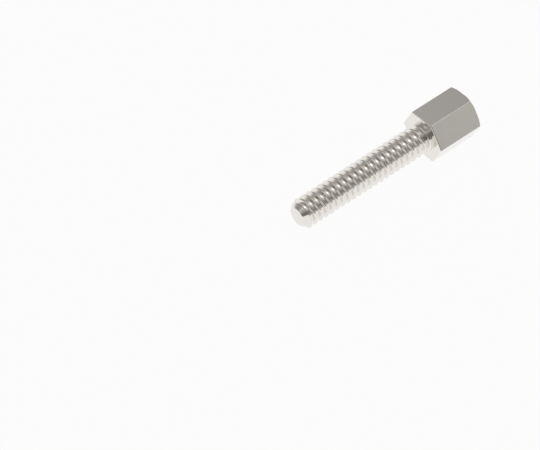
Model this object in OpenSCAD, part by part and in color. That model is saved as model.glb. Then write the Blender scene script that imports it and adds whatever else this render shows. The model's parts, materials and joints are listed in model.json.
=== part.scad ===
// Female screwlock: a hexagonal post with a tapped socket in its head and a threaded stud below it,
// turned from hexagon bar as one piece.
// It lies as it comes to rest on the plane z = 0: on the lower edge of its underside and on the tip,
// with one flat of the hexagon facing down and the head towards +X.
// The fine 4-40 UNC thread is drawn as plain walls: the stud at the thread's crests and the socket
// at its tapping drill. The neck, fillet, chamfers, countersink and drill point have their true form.

/* [Head] */
// Width of the hexagon across its flats
hex_af = 4.4; // [3.6:0.05:7]
// Length of the head along its axis
head_len = 4.85; // [4.5:0.05:12]
// Diameter of the flat ring at the socket's end, inside the turned chamfer
face_dia = 4.55; // [3.2:0.05:5]
// Slope of the turned chamfer, measured from the end face
chamfer_slope = 30; // [10:1:45]

/* [Stud] */
// Diameter over the crests of the thread
stud_dia = 2.82; // [2.5:0.01:3.4]
// Length from the head's underside to the tip
stud_len = 14.5; // [4:0.01:40]
// Diameter of the plain neck between the head and the thread
neck_dia = 2.5; // [1.8:0.05:2.8]
// Length of the neck beyond the fillet at its root
neck_len = 0.12; // [0.01:0.01:2]
// Width of the 45 degree chamfer at the tip
tip_chamfer = 0.5; // [0.1:0.05:1]

/* [Socket] */
// Diameter of the tapped hole's wall, as drilled for the thread
socket_dia = 2.26; // [1.6:0.01:2.9]
// Depth of the hole's round wall below the end face
socket_depth = 3.6; // [1:0.05:3.8]
// Full angle of the drill's point
drill_angle = 118; // [90:1:140]
// Diameter of the countersink at the mouth
sink_dia = 3; // [2.4:0.05:4.1]
// Full angle of the countersink
sink_angle = 90; // [60:5:120]

/* [Hidden] */
$fn = 96;

// How far the head's root fillet reaches past the crests, so that a washer or a flange that has
// passed over the thread lies flat on the underside
fillet_run = 0.01;
// How far one turned shape runs past another that it is joined to or cut from
overrun = 0.5;

crest_r = stud_dia / 2;
neck_r = neck_dia / 2;
fillet_r = max(crest_r - neck_r, 0) + fillet_run;
tip_r = crest_r - tip_chamfer;
face_r = face_dia / 2;
corner_r = hex_af / sqrt(3);
blank_r = corner_r + overrun;
socket_r = socket_dia / 2;
sink_r = max(sink_dia / 2, socket_r);
point_len = socket_r / tan(drill_angle / 2);
sink_depth = (sink_r - socket_r) / tan(sink_angle / 2);

// The part rests on two places below its axis: the edge of the underside, half the hexagon's width
// down, and the last crest at the tip, half the stud's width down.
rest_tilt = atan((hex_af / 2 - crest_r) / (stud_len - tip_chamfer));
tip_reach = stud_len * cos(rest_tilt) + tip_r * sin(rest_tilt);
head_reach = head_len * cos(rest_tilt) + min(face_r, hex_af / 2) * sin(rest_tilt);
rest_height = hex_af / 2 * cos(rest_tilt);

// The modules below are turned about Z, with the head above z = 0 and the stud below it.

module head() {
    intersection() {
        rotate([0, 0, 30])
            cylinder(h = head_len, r = corner_r, $fn = 6);
        rotate_extrude()
            polygon([
                [0, -overrun],
                [blank_r, -overrun],
                [blank_r, head_len - (blank_r - face_r) * tan(chamfer_slope)],
                [face_r, head_len],
                [0, head_len]
            ]);
    }
}

module stud() {
    rotate_extrude()
        difference() {
            polygon([
                [0, overrun],
                [neck_r + fillet_r, overrun],
                [neck_r + fillet_r, -fillet_r],
                [neck_r, -fillet_r],
                [neck_r, -fillet_r - neck_len],
                [crest_r, -fillet_r - neck_len - abs(crest_r - neck_r)],
                [crest_r, tip_chamfer - stud_len],
                [tip_r, -stud_len],
                [0, -stud_len]
            ]);
            translate([neck_r + fillet_r, -fillet_r])
                circle(r = fillet_r);
        }
}

module socket() {
    translate([0, 0, head_len])
        rotate_extrude()
            polygon([
                [0, -socket_depth - point_len],
                [socket_r, -socket_depth],
                [socket_r, -sink_depth],
                [sink_r, 0],
                [sink_r, overrun],
                [0, overrun]
            ]);
}

module lay_down() {
    translate([(tip_reach - head_reach) / 2, 0, rest_height])
        rotate([0, 90 - rest_tilt, 0])
            children();
}

module screwlock() {
    color("silver")
        lay_down()
            difference() {
                union() {
                    head();
                    stud();
                }
                socket();
            }
}

screwlock();
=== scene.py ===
import json
import math

import bpy
from mathutils import Matrix, Vector


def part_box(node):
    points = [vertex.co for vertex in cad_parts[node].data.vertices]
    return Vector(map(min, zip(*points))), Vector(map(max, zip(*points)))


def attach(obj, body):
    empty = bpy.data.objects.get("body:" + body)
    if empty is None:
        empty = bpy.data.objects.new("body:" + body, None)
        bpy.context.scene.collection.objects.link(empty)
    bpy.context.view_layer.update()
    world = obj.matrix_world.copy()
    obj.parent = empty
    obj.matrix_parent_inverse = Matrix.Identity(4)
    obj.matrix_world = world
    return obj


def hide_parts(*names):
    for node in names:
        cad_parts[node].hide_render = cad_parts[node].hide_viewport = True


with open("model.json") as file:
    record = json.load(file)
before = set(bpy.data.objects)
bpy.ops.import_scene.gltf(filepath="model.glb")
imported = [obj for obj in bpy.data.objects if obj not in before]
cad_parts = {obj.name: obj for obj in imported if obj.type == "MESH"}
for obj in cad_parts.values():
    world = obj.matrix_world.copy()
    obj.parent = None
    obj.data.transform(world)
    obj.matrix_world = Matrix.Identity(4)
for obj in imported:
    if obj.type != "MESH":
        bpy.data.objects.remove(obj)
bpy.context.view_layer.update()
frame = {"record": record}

mounts = {mount["name"]: mount for mount in frame["record"]["mounts"]}
mm = 0.001


def linearColour(hexCode):
    channels = [int(hexCode[i:i + 2], 16) / 255 for i in (1, 3, 5)]
    return [c / 12.92 if c <= 0.04045 else ((c + 0.055) / 1.055) ** 2.4 for c in channels] + [1.0]


def addNode(tree, kind, settings=None, inputs=None):
    # an input is given a value, or the socket that is linked to it
    node = tree.nodes.new(kind)
    for name, value in (settings or {}).items():
        setattr(node, name, value)
    for name, value in (inputs or {}).items():
        if isinstance(value, bpy.types.NodeSocket):
            tree.links.new(value, node.inputs[name])
        else:
            node.inputs[name].default_value = value
    return node


# the part's own frame: x runs along the axis from the head's underside, r out from the axis
seatPoint = Vector(mounts["seat"]["pos_m"])
endPoint = Vector(mounts["end_face"]["pos_m"])
axisDir = Vector(mounts["end_face"]["axis"]).normalized()
sideDir = Vector((0, -1, 0))
upDir = sideDir.cross(axisDir)
partFrame = Matrix((axisDir, upDir, sideDir)).transposed()

# mm and degrees. The chamfers, the face and the socket have the CAD source's sizes. The roundings
# and the thread are only here, and so is a neck that the thread all but fills.
post = {
    "tipChamfer": 0.5,       # at 45 degrees
    "neckDia": 2.8,          # the last crest runs on to the underside
    "neckLength": 0.03,      # beyond the fillet
    "filletRun": 0.01,       # how far the root fillet reaches past the crests
    "faceDia": 4.55,
    "chamferSlope": 30,
    "socketDepth": 3.6,
    "sinkDia": 3.0,          # of the 90 degree countersink
    "drillAngle": 118,
    "flatEdge": 0.03,        # rounding between two flats, left by drawing the bar
    "underEdge": 0.08,       # rounding at the underside's rim, left by turning and plating
    "faceEdge": 0.03,        # rounding of the other turned edges
    # 4-40 UNC thread, with full round crests and roots
    "pitch": 0.635,
    "flankAngle": 55,        # between two flanks, 60 before plating
    "crestRadius": 0.118,
    "rootFlat": 0.096,
    "rootRadius": 0.053,
    "crestPlace": -0.8294,   # a crest, on the side that faces up and forward
    "crestTurn": 24.07,      # degrees from straight up to that place
    "studRunOut": 0.25,      # where the groove fades before the underside
    "socketLength": 3.2,     # threaded depth of the socket
    "socketRunOut": 0.5,     # where the tap's last turns fade
}

fullTurn = 2 * math.pi
halfSide = math.radians(30)      # from the middle of a flat to a corner

# what the record and the CAD box say, in mm
studRadius = mounts["stud"]["dims"]["r_mm"]
socketRadius = mounts["socket"]["dims"]["r_mm"]
headLength = (endPoint - seatPoint).length / mm
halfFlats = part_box("screwlock")[1].y / mm * math.cos(halfSide)
studMiddle = (Vector(mounts["stud"]["pos_m"]) - seatPoint).length / mm
studWallEnd = studMiddle + mounts["stud"]["dims"]["length_mm"] / 2

# what follows from these and the sizes above, in mm
neckRadius = post["neckDia"] / 2
filletRadius = studRadius - neckRadius + post["filletRun"]
neckEnd = -filletRadius - post["neckLength"]
studLength = round(studWallEnd + post["tipChamfer"], 2)
tipRadius = studRadius - post["tipChamfer"]
faceRadius = post["faceDia"] / 2
faceEdge = post["faceEdge"]
chamferRise = math.tan(math.radians(post["chamferSlope"]))
sinkRadius = post["sinkDia"] / 2
socketFloor = headLength - post["socketDepth"]
drillPoint = socketRadius / math.tan(math.radians(post["drillAngle"] / 2))

# the thread's profile: round crest, straight flank, round root, flat root
pitch = post["pitch"]
flankSlope = math.radians(90 - post["flankAngle"] / 2)
crestRadius = post["crestRadius"]
rootRadius = post["rootRadius"]
rootFlatStart = pitch / 2 - post["rootFlat"] / 2
flankStart = crestRadius * math.sin(flankSlope)
flankEnd = rootFlatStart - rootRadius * math.sin(flankSlope)
flankTop = crestRadius * (1 - math.cos(flankSlope))
flankDepth = (flankEnd - flankStart) * math.tan(flankSlope)
threadDepth = flankTop + flankDepth + rootRadius * (1 - math.cos(flankSlope))


def threadDrop(gap):
    # how far the thread lies below its crest, at a distance from the crest's middle
    if gap <= flankStart:
        return crestRadius - math.sqrt(crestRadius ** 2 - gap ** 2)
    if gap <= flankEnd:
        return flankTop + (gap - flankStart) * math.tan(flankSlope)
    inArc = max(rootFlatStart - gap, 0)
    return threadDepth - rootRadius + math.sqrt(rootRadius ** 2 - inArc ** 2)


def crestGap(x, turn):
    # distance along the axis to the nearest crest of the right-hand helix
    crestTurn = math.radians(post["crestTurn"])
    along = (x - post["crestPlace"]) / pitch - (turn - crestTurn) / fullTurn
    return abs(along - round(along)) * pitch


def studRadiusAt(x, turn):
    fade = min(1, max(0, (neckEnd - x) / post["studRunOut"]))
    radius = studRadius - threadDrop(crestGap(x, turn)) * fade
    radius = min(radius, tipRadius + x + studLength)          # the tip's chamfer
    return max(min(radius, neckRadius + neckEnd - x), min(neckRadius, radius))


def socketRadiusAt(x, turn):
    depth = headLength - x
    cut = studRadius - threadDrop(crestGap(x, turn))
    fade = (post["socketLength"] - depth) / post["socketRunOut"]
    cut = min(cut, socketRadius + (studRadius - socketRadius) * max(0, fade))
    return max(cut, socketRadius, sinkRadius - depth)         # no deeper than the countersink


def threadNormal(radiusAt, x, turn, outward):
    # along the axis, away from it and round it, from slopes over a short step of mm or radians
    step = 0.0005
    alongSlope = (radiusAt(x + step, turn) - radiusAt(x - step, turn)) / (2 * step)
    roundStep = 2 * step * radiusAt(x, turn)
    roundSlope = (radiusAt(x, turn + step) - radiusAt(x, turn - step)) / roundStep
    return Vector((-alongSlope, 1, -roundSlope)).normalized() * outward


def hexRadius(turn):
    # the hexagon's outline, with its corners rounded
    side = 2 * halfSide
    fromCorner = (turn - halfSide) % side
    fromCorner = min(fromCorner, side - fromCorner)
    rounding = post["flatEdge"]
    centre = (halfFlats - rounding) / math.cos(halfSide)
    reach = rounding ** 2 - (centre * math.sin(fromCorner)) ** 2
    straight = halfFlats / math.cos(halfSide - fromCorner)
    if reach <= 0:
        return straight
    return min(straight, centre * math.cos(fromCorner) + math.sqrt(reach))


def columnTurns():
    # angles round the axis: close together at the six rounded corners, even across the flats
    flatColumns = 16
    cornerShares = (-1.0, -0.66, -0.33, 0.0, 0.33, 0.66, 1.0)
    flatEnd = (halfFlats - post["flatEdge"]) * math.tan(halfSide)
    halfCorner = halfSide - math.atan(flatEnd / halfFlats)
    span = 2 * halfSide - 2 * halfCorner
    turns = []
    for side in range(6):
        corner = math.radians(30 + 60 * side)
        turns += [corner + share * halfCorner for share in cornerShares]
        turns += [corner + halfCorner + span * step / flatColumns for step in range(1, flatColumns)]
    return turns


# the whole surface is one skin of rows, from the middle of the tip to the bottom of the socket.
# A point of a row is x, r and, on the thread, its exact normal.
turns = columnTurns()
rows = []


def addRing(place):
    # a row straight round the axis: place(turn) gives x and r
    rows.append([place(turn) + (None,) for turn in turns + turns[:1]])


def threadRows(start, end, gaps, radiusAt, outward):
    # rows that follow the helix, held between start and end: the gaps are those from a crest to
    # the rows on its one side, up to the middle of the root
    crestAtZero = post["crestPlace"] - post["crestTurn"] / 360 * pitch
    firstTurn = math.floor((start - crestAtZero) / pitch) - 2
    lastTurn = math.ceil((end - crestAtZero) / pitch) + 1
    marks = gaps + [pitch - gap for gap in reversed(gaps) if 0 < gap < pitch / 2]
    found = []
    for turnNumber in range(firstTurn, lastTurn + 1):
        for mark in marks:
            row = []
            for turn in turns + [turns[0] + fullTurn]:
                x = crestAtZero + (turnNumber + turn / fullTurn) * pitch + mark
                inside = start < x < end
                x = min(max(x, start), end)
                normal = threadNormal(radiusAt, x, turn, outward) if inside else None
                row.append((x, radiusAt(x, turn), normal))
            found.append(row)
    return found


def arcSteps(count):
    return [math.radians(90) * step / count for step in range(count + 1)]


crestGaps = [crestRadius * math.sin(flankSlope * share) for share in (0.0, 0.25, 0.5, 0.75, 1.0)]


def addStud():
    # flat tip, then its chamfer and the thread
    for share in (0.0, 0.3, 0.6, 0.85, 0.97):
        addRing(lambda turn: (-studLength, share * studRadiusAt(-studLength, turn)))
    rootShares = (0.0, 0.5, 1.0)
    rootGaps = [rootFlatStart - rootRadius * math.sin(flankSlope * share) for share in rootShares]
    middleGap = (flankStart + flankEnd) / 2
    gaps = sorted(set(crestGaps + [middleGap] + rootGaps + [pitch / 2]))
    rows.extend(threadRows(-studLength, neckEnd, gaps, studRadiusAt, 1))


def addUnderside():
    # root fillet, underside and its rounded rim
    for angle in arcSteps(6):
        x = -filletRadius * (1 - math.sin(angle))
        r = neckRadius + filletRadius * (1 - math.cos(angle))
        addRing(lambda turn: (x, r))
    rim = post["underEdge"]
    rootEnd = neckRadius + filletRadius
    for share in (0.1, 0.4, 0.7, 0.95):
        addRing(lambda turn: (0.0, rootEnd + share * (hexRadius(turn) - rim - rootEnd)))
    for angle in arcSteps(4):
        addRing(lambda turn: (rim * (1 - math.cos(angle)),
                              hexRadius(turn) - rim * (1 - math.sin(angle))))


# the numbers beside faceEdge, here and in addHead, are shares of the turned edges' rounding
def flatTop(turn):
    # where the chamfer's cone meets the outline, in a scalloped edge that leaves the middle of
    # each flat whole
    return headLength - max(0, hexRadius(turn) - faceRadius) * chamferRise


def faceRim(turn):
    return min(faceRadius, hexRadius(turn) - faceEdge * 1.15)


def chamferAt(turn, share):
    startX = min(flatTop(turn) + faceEdge * 0.4, headLength - faceEdge * 0.12)
    startR = hexRadius(turn) - faceEdge * 0.85
    endX = headLength - faceEdge * 0.02
    return startX + share * (endX - startX), startR + share * (faceRim(turn) - startR)


def addHead():
    rim = post["underEdge"]
    for share in (0.02, 0.25, 0.5, 0.75, 0.98):
        addRing(lambda turn: (rim + share * (flatTop(turn) - faceEdge - rim), hexRadius(turn)))
    # rounded edge, chamfer, end face and the countersink's rounded rim
    for back, inward in ((1, 0), (0.3, 0.2)):
        addRing(lambda turn: (flatTop(turn) - faceEdge * back,
                              hexRadius(turn) - faceEdge * inward))
    for share in (0.0, 0.5, 0.95):
        addRing(lambda turn: chamferAt(turn, share))
    addRing(lambda turn: (headLength, faceRim(turn) - faceEdge * 0.3))
    for share in (0.06, 0.35, 0.65, 0.94):
        addRing(lambda turn: (headLength, faceRim(turn) + share * (sinkRadius - faceRim(turn))))
    addRing(lambda turn: (headLength - faceEdge * 0.1, sinkRadius + faceEdge * 0.1))
    addRing(lambda turn: (headLength - faceEdge * 0.6, sinkRadius - faceEdge * 0.6))


def addSocket():
    # thread from its mouth inwards, so the rows are turned round, then the drilled end
    overrun = 0.02           # how far the thread's rows reach out into the countersink
    mouth = headLength - (sinkRadius - studRadius) + overrun
    blind = headLength - post["socketLength"]
    wallGap = flankStart + (studRadius - socketRadius - flankTop) / math.tan(flankSlope)
    gaps = sorted(set(crestGaps + [(flankStart + wallGap) / 2, wallGap, pitch / 2]))
    rows.extend(reversed(threadRows(blind, mouth, gaps, socketRadiusAt, -1)))
    for share in (0.5, 1.0):
        addRing(lambda turn: (blind + share * (socketFloor - blind), socketRadius))
    for share in (0.75, 0.4, 0.0):
        addRing(lambda turn: (socketFloor - drillPoint * (1 - share), socketRadius * share))


def skinFromRows():
    # points that fall on the same spot are one vertex, so rows that meet need no stitching
    spotsPerMm = 1e5
    places, normals, found, faces = [], [], {}, []

    def vertexAt(row, column):
        x, r, normal = rows[row][column]
        angle = turns[column % len(turns)]
        cosine, sine = math.cos(angle), math.sin(angle)
        place = (x, r * cosine, r * sine)
        key = tuple(round(value * spotsPerMm) for value in place)
        if key not in found:
            found[key] = len(places)
            places.append(seatPoint + partFrame @ Vector(place) * mm)
            normals.append(None)
        if normal and normals[found[key]] is None:
            along, away, rounds = normal
            turned = Vector((along, away * cosine - rounds * sine, away * sine + rounds * cosine))
            normals[found[key]] = partFrame @ turned
        return found[key]

    index = [[vertexAt(row, column) for column in range(len(turns) + 1)]
             for row in range(len(rows))]
    for here, after in zip(index, index[1:]):
        for column in range(len(turns)):
            corners = [here[column], here[column + 1], after[column + 1], after[column]]
            face = [v for i, v in enumerate(corners) if v != corners[i - 1]]
            if len(set(face)) >= 3:
                faces.append(face)
    return places, normals, faces


def fillNormals(mesh, normals):
    # off the thread, a point takes the mean normal of its faces, and the largest count most
    sums = [Vector() for _ in normals]
    for face in mesh.polygons:
        for index in face.vertices:
            sums[index] += face.normal * face.area ** 2 / mm ** 4
    return [exact or total.normalized() for exact, total in zip(normals, sums)]


addStud()
addUnderside()
addHead()
addSocket()
places, normals, faces = skinFromRows()
mesh = bpy.data.meshes.new("screwlockTurned")
mesh.from_pydata(places, [], faces)
mesh.shade_smooth()
mesh.normals_split_custom_set_from_vertices(fillNormals(mesh, normals))
screwlock = bpy.data.objects.new("screwlockTurned", mesh)
bpy.context.scene.collection.objects.link(screwlock)
print("screwlock:", len(places), "points,", len(faces), "faces")


# bright nickel, plated on turned steel: a smooth, faintly warm mirror, which the tool's and the
# drawing die's fine marks under it soften a little
nickel = {
    "colour": "#EBE8E3",
    "roughness": 0.12,
    "roughShares": (0.8, 1.25),   # how far the roughness wanders, in soft clouds
    "cloudSize": 0.7143,          # mm
    "markDepth": 0.0012,          # mm
    "markStrength": 0.35,
    "feedMark": 0.06,             # mm between turning marks on the faces
    "feedShare": 0.3,             # their depth beside the drawing lines'
    "drawLine": 0.05,             # mm between the bar's drawing lines on the flats
    "drawStretch": 25,            # how much longer than wide the lines are
}


def brightNickelPlate():
    waveRate = 20            # radians that the wave texture runs on in one unit, at scale 1
    linesInCell = 2          # lines that one cell of the noise shows
    material = bpy.data.materials.new("brightNickelPlateOnTurnedSteel")
    material.use_nodes = True
    tree = material.node_tree
    tree.nodes.clear()
    # the part's own axis becomes X, and millimetres become units
    place = addNode(tree, "ShaderNodeTexCoord").outputs["Object"]
    fromSeat = addNode(tree, "ShaderNodeVectorMath", {"operation": "SUBTRACT"},
                       {0: place, 1: seatPoint}).outputs[0]
    own = addNode(tree, "ShaderNodeMapping", {"vector_type": "POINT"}, {
        "Vector": fromSeat, "Rotation": (0, math.atan2(axisDir.z, axisDir.x), 0),
        "Scale": (1 / mm, 1 / mm, 1 / mm)}).outputs[0]
    feed = addNode(tree, "ShaderNodeTexWave", {"wave_type": "RINGS", "rings_direction": "X"}, {
        "Vector": own, "Scale": fullTurn / (waveRate * nickel["feedMark"]),
        "Distortion": 0.6, "Detail": 2.0})
    stretched = addNode(tree, "ShaderNodeVectorMath", {"operation": "MULTIPLY"},
                        {0: own, 1: (1 / nickel["drawStretch"], 1, 1)}).outputs[0]
    drawn = addNode(tree, "ShaderNodeTexNoise", None, {
        "Vector": stretched, "Scale": 1 / (linesInCell * nickel["drawLine"]), "Detail": 3.0})
    cloud = addNode(tree, "ShaderNodeTexNoise", None, {
        "Vector": own, "Scale": 1 / nickel["cloudSize"], "Detail": 3.0})
    least, most = (nickel["roughness"] * share for share in nickel["roughShares"])
    # nearly all of the noise lies between 0.3 and 0.7
    rough = addNode(tree, "ShaderNodeMapRange", None, {
        "Value": cloud.outputs[0], "From Min": 0.3, "From Max": 0.7,
        "To Min": least, "To Max": most})
    marks = addNode(tree, "ShaderNodeMath", {"operation": "MULTIPLY_ADD"},
                    {0: feed.outputs[1], 1: nickel["feedShare"], 2: drawn.outputs[0]})
    bump = addNode(tree, "ShaderNodeBump", None, {
        "Height": marks.outputs[0], "Strength": nickel["markStrength"],
        "Distance": nickel["markDepth"] * mm})
    shader = addNode(tree, "ShaderNodeBsdfPrincipled", None, {
        "Base Color": linearColour(nickel["colour"]), "Metallic": 1.0,
        "Roughness": rough.outputs[0], "Normal": bump.outputs[0]})
    addNode(tree, "ShaderNodeOutputMaterial", None, {"Surface": shader.outputs[0]})
    return material


screwlock.data.materials.append(brightNickelPlate())
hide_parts("screwlock")
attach(screwlock, "root")
print("nickel plate: done")


camera = {
    "aim": (-11.2586, 1.9124, 0.0),   # mm, on the floor
    "heading": 37.782,                # degrees, from +Y towards +X
    "lookDown": 43.620,
    "roll": -2.155,
    "distance": 281.31,               # mm
    "lens": 213.71,                   # mm
    "sensor": 36,                     # mm wide
    "nearest": 0.01,                  # m, nothing nearer or farther is drawn
    "farthest": 10,
}


def viewAxes():
    # right and up as the rolled camera has them, straight ahead, then level right and level ahead
    heading, down, roll = (math.radians(camera[key]) for key in ("heading", "lookDown", "roll"))
    level = Vector((math.sin(heading), math.cos(heading), 0))
    ahead = level * math.cos(down) - Vector((0, 0, math.sin(down)))
    right = ahead.cross(Vector((0, 0, 1))).normalized()
    above = right.cross(ahead)
    rolledRight = right * math.cos(roll) + above * math.sin(roll)
    return rolledRight, rolledRight.cross(ahead), ahead, right, level


def addCamera():
    right, above, ahead = viewAxes()[:3]
    data = bpy.data.cameras.new("camera")
    data.lens = camera["lens"]
    data.sensor_width = camera["sensor"]
    data.clip_start = camera["nearest"]
    data.clip_end = camera["farthest"]
    holder = bpy.data.objects.new("camera", data)
    bpy.context.scene.collection.objects.link(holder)
    eye = Vector(camera["aim"]) * mm - ahead * camera["distance"] * mm
    turn = Matrix((right, above, -ahead)).transposed().to_4x4()
    holder.matrix_world = Matrix.Translation(eye) @ turn
    bpy.context.scene.camera = holder


addCamera()
print("camera: done")


# directions in the studio are degrees to the right of the camera's heading and degrees up
studio = {
    "floorSize": 3.0,                # m
    "floorColour": "#F4F3F1",
    "whiteShare": 0.95,              # how much of the floor looks plain white, the rest shows shade
    "lampDistance": 0.3,             # m
    "lampSize": 0.079,               # m across
    "lampPower": 0.0270,             # W
    "lampAt": (57.3, 64.3),
    "brightSide": (-7.8, 38.9),      # where the walls' scale of colours ends
    # walls and ceiling: how far from opposite the bright side (0) to it (1), colour
    "walls": [
        (0, "#595857"),
        (0.25, "#6E6D6B"),
        (0.5, "#CDCCC9"),
        (0.65, "#777574"),
        (0.8, "#FFFDF9"),
        (0.925, "#FFFDF9"),
        (1, "#AEACAA"),
    ],
    # soft-edged cards: where, half their width and their edge's softness in degrees, colour
    "cards": [
        ((-77.7, 40.9), 28.9, 7.9, "#9A9896"),
        ((46.6, 14.3), 47.9, 6.0, "#777574"),
        ((127.7, 43.0), 37.7, 10.0, "#F0EEEB"),
        ((147.4, 29.5), 34.1, 11.7, "#737170"),
    ],
}


def addFloor():
    half = studio["floorSize"] / 2
    corners = [(-half, -half, 0), (half, -half, 0), (half, half, 0), (-half, half, 0)]
    mesh = bpy.data.meshes.new("floor")
    mesh.from_pydata(corners, [], [(0, 1, 2, 3)])
    floor = bpy.data.objects.new("floor", mesh)
    bpy.context.scene.collection.objects.link(floor)
    # uncoated paper: flat and without a sheen, mostly white to the eye and in the metal
    material = bpy.data.materials.new("matteWhitePaper")
    material.use_nodes = True
    tree = material.node_tree
    tree.nodes.clear()
    path = addNode(tree, "ShaderNodeLightPath")
    seen = path.outputs["Is Camera Ray"]
    for ray in ("Is Glossy Ray", "Is Transmission Ray"):
        seen = addNode(tree, "ShaderNodeMath", {"operation": "MAXIMUM"},
                       {0: seen, 1: path.outputs[ray]}).outputs[0]
    share = addNode(tree, "ShaderNodeMath", {"operation": "MULTIPLY"},
                    {0: seen, 1: studio["whiteShare"]})
    paper = addNode(tree, "ShaderNodeBsdfDiffuse", None,
                    {"Color": linearColour(studio["floorColour"])})
    white = addNode(tree, "ShaderNodeEmission", None, {"Strength": 1.0})
    mix = addNode(tree, "ShaderNodeMixShader", None, {
        0: share.outputs[0], 1: paper.outputs[0], 2: white.outputs[0]})
    addNode(tree, "ShaderNodeOutputMaterial", None, {"Surface": mix.outputs[0]})
    mesh.materials.append(material)


def studioWay(place):
    aside, up = (math.radians(angle) for angle in place)
    right, level = viewAxes()[3:]
    outward = level * math.cos(aside) + right * math.sin(aside)
    return outward * math.cos(up) + Vector((0, 0, math.sin(up)))


def addLamp():
    # one small round lamp, which puts the bright spot on each crest
    way = studioWay(studio["lampAt"])
    data = bpy.data.lights.new("overheadLamp", "AREA")
    data.shape = "DISK"
    data.size = studio["lampSize"]
    data.energy = studio["lampPower"]
    lamp = bpy.data.objects.new("overheadLamp", data)
    lamp.location = way * studio["lampDistance"]
    lamp.rotation_mode = "QUATERNION"
    lamp.rotation_quaternion = way.to_track_quat("Z", "Y")
    bpy.context.scene.collection.objects.link(lamp)


def addRoom():
    world = bpy.data.worlds.new("room")
    world.use_nodes = True
    tree = world.node_tree
    tree.nodes.clear()
    way = addNode(tree, "ShaderNodeTexCoord").outputs["Generated"]

    def facing(place):
        # 1 straight towards the place, -1 away from it
        return addNode(tree, "ShaderNodeVectorMath", {"operation": "DOT_PRODUCT"},
                       {0: way, 1: studioWay(place)}).outputs["Value"]

    along = addNode(tree, "ShaderNodeMapRange", None, {
        "Value": facing(studio["brightSide"]), "From Min": -1.0}).outputs[0]
    ramp = addNode(tree, "ShaderNodeValToRGB", None, {0: along})
    stops = ramp.color_ramp.elements
    while len(stops) < len(studio["walls"]):
        stops.new(0.5)
    for stop, (position, hexCode) in zip(stops, studio["walls"]):
        stop.position = position
        stop.color = linearColour(hexCode)
    colour = ramp.outputs[0]
    for place, half, softness, hexCode in studio["cards"]:
        away = addNode(tree, "ShaderNodeMath", {"operation": "ARCCOSINE"},
                       {0: facing(place)}).outputs[0]
        cover = addNode(tree, "ShaderNodeMapRange", {"interpolation_type": "SMOOTHSTEP"}, {
            "Value": away, "From Min": math.radians(half + softness),
            "From Max": math.radians(half - softness)}).outputs[0]
        # 6, 7 and 2 are the mix's colour sockets
        colour = addNode(tree, "ShaderNodeMix", {"data_type": "RGBA"}, {
            0: cover, 6: colour, 7: linearColour(hexCode)}).outputs[2]
    background = addNode(tree, "ShaderNodeBackground", None, {"Color": colour, "Strength": 1.0})
    addNode(tree, "ShaderNodeOutputWorld", None, {"Surface": background.outputs[0]})
    bpy.context.scene.world = world


addFloor()
addLamp()
addRoom()
bpy.context.scene.view_settings.view_transform = "Standard"
print("floor, lamp and room: done")
